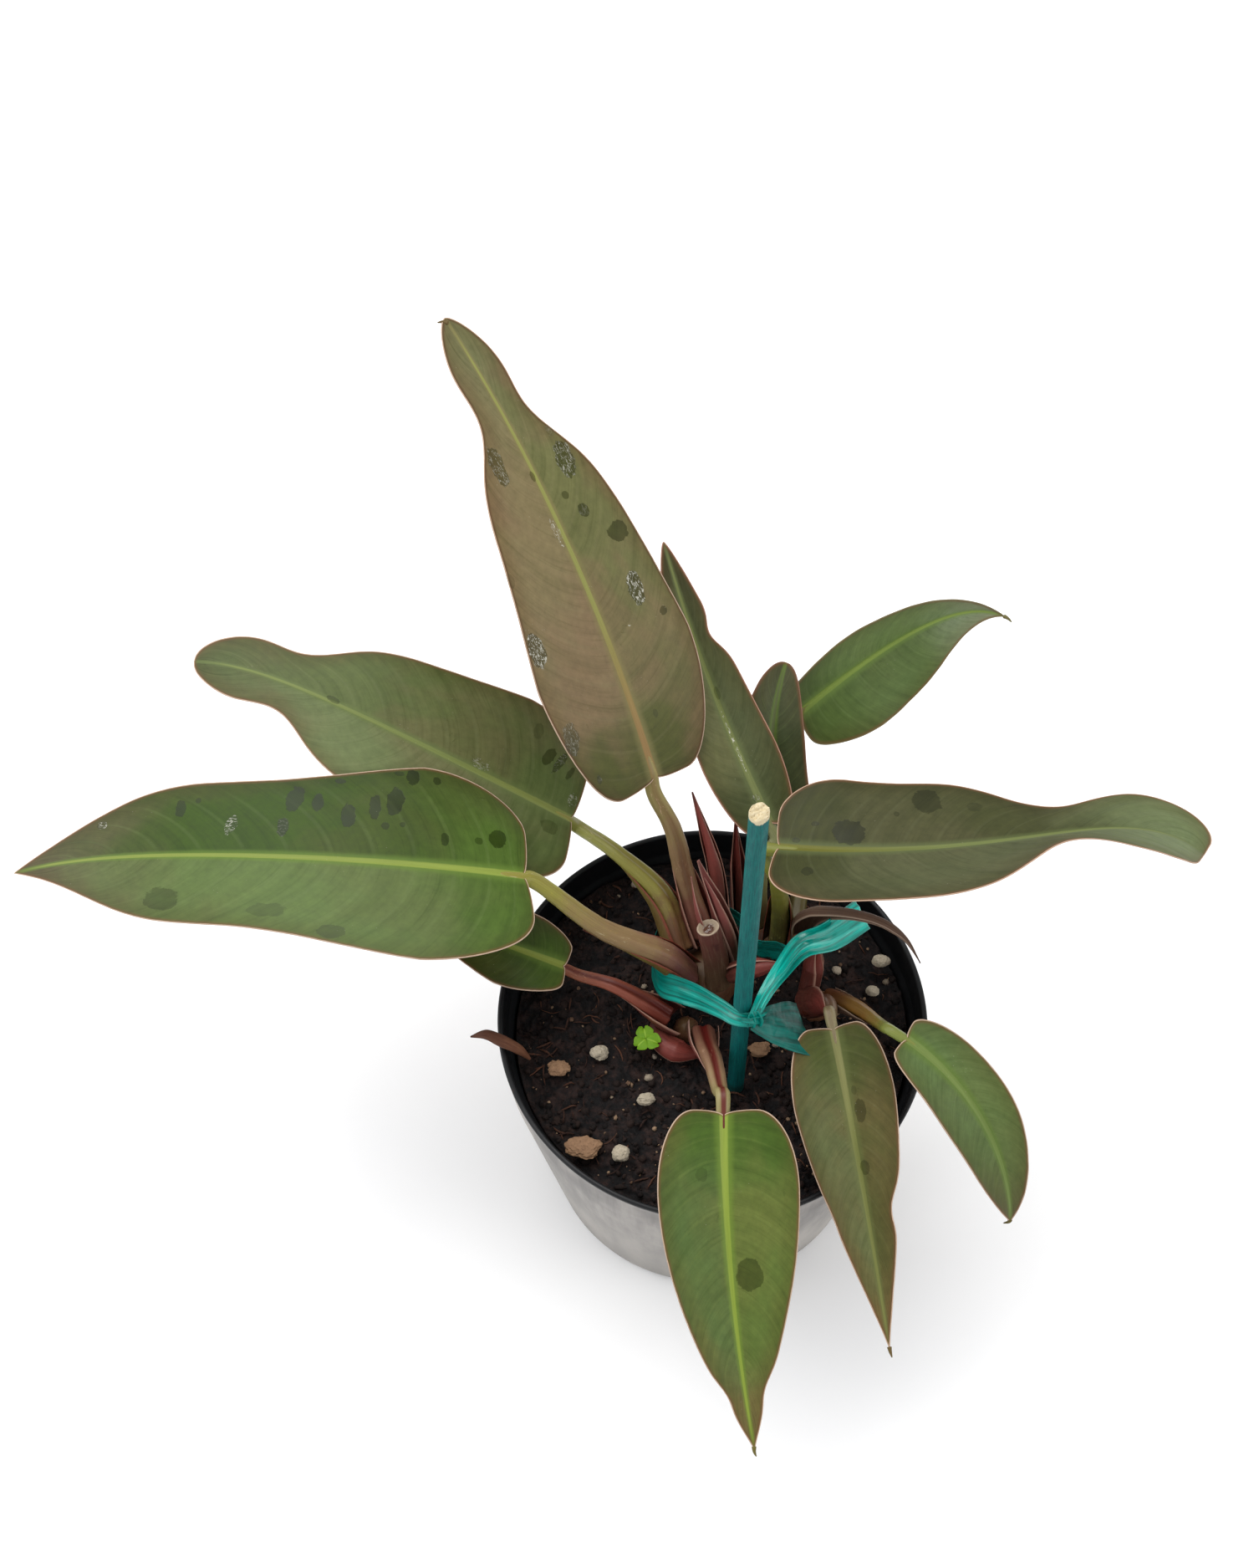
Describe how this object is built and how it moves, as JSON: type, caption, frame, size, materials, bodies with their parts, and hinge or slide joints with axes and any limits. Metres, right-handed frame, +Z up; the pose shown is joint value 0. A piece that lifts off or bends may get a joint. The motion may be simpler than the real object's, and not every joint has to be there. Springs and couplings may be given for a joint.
{
  "type": "potted plant",
  "caption": "Young bushy philodendron with long waisted leaves on reddish stalks, tied with tape to a short dyed stake, in a plain black nursery pot of potting soil.",
  "frame": {"origin": "centre of the pot's flat underside", "axes": "+Z up, +X to the right with the front of the plant towards -Y"},
  "size_m": [0.4116, 0.3364, 0.2635],
  "materials": {
    "pot": "satin",
    "soil": "crumbly",
    "stake": "dyed, dull",
    "tape": "glossy, slightly see-through",
    "stem": "waxy",
    "leaf_green": "satin",
    "leaf_olive": "satin",
    "leaf_dark": "satin",
    "petiole_green": "satin",
    "petiole_red": "satin",
    "cataphyll_red": "satin",
    "cataphyll_dry": "dull",
    "seedling": "matte",
    "dry_leaf": "dull",
    "perlite": "chalky",
    "bark": "rough"
  },
  "bodies": {
    "root": {"pot": "pot", "soil": "soil", "stake": "stake", "tie_tape": "tape", "seedling_leaves": "seedling", "stem_main": "stem", "stem_front": "stem", "stem_right": "stem", "stem_back_right": "stem", "leaf_top": "leaf_olive", "leaf_left_upper": "leaf_green", "leaf_left_front": "leaf_green", "leaf_small_left": "leaf_green", "leaf_front": "leaf_green", "leaf_front_right": "leaf_olive", "leaf_small_right": "leaf_green", "leaf_right": "leaf_olive", "leaf_upper_right": "leaf_green", "leaf_back_right": "leaf_dark", "leaf_back": "leaf_dark", "petiole_top": "petiole_green", "petiole_left_upper": "petiole_green", "petiole_left_front": "petiole_green", "petiole_small_left": "petiole_red", "petiole_front": "petiole_red", "petiole_front_right": "petiole_red", "petiole_small_right": "petiole_green", "petiole_right": "petiole_green", "petiole_upper_right": "petiole_green", "petiole_back_right": "petiole_green", "petiole_back": "petiole_green", "cut_petiole_stub": "petiole_red", "new_spear": "cataphyll_red", "cataphyll_tall": "cataphyll_red", "cataphyll_short": "cataphyll_red", "cataphyll_bud": "cataphyll_red", "cataphyll_dry": "cataphyll_dry", "cataphyll_front": "cataphyll_red", "cataphyll_right": "cataphyll_red", "seedling_stalk": "seedling", "dry_leaf_scrap": "dry_leaf", "perlite_1": "perlite", "perlite_2": "perlite", "perlite_3": "perlite", "perlite_4": "perlite", "perlite_5": "perlite", "bark_chip_1": "bark", "bark_chip_2": "bark", "bark_chip_3": "bark"}
  },
  "joints": []
}
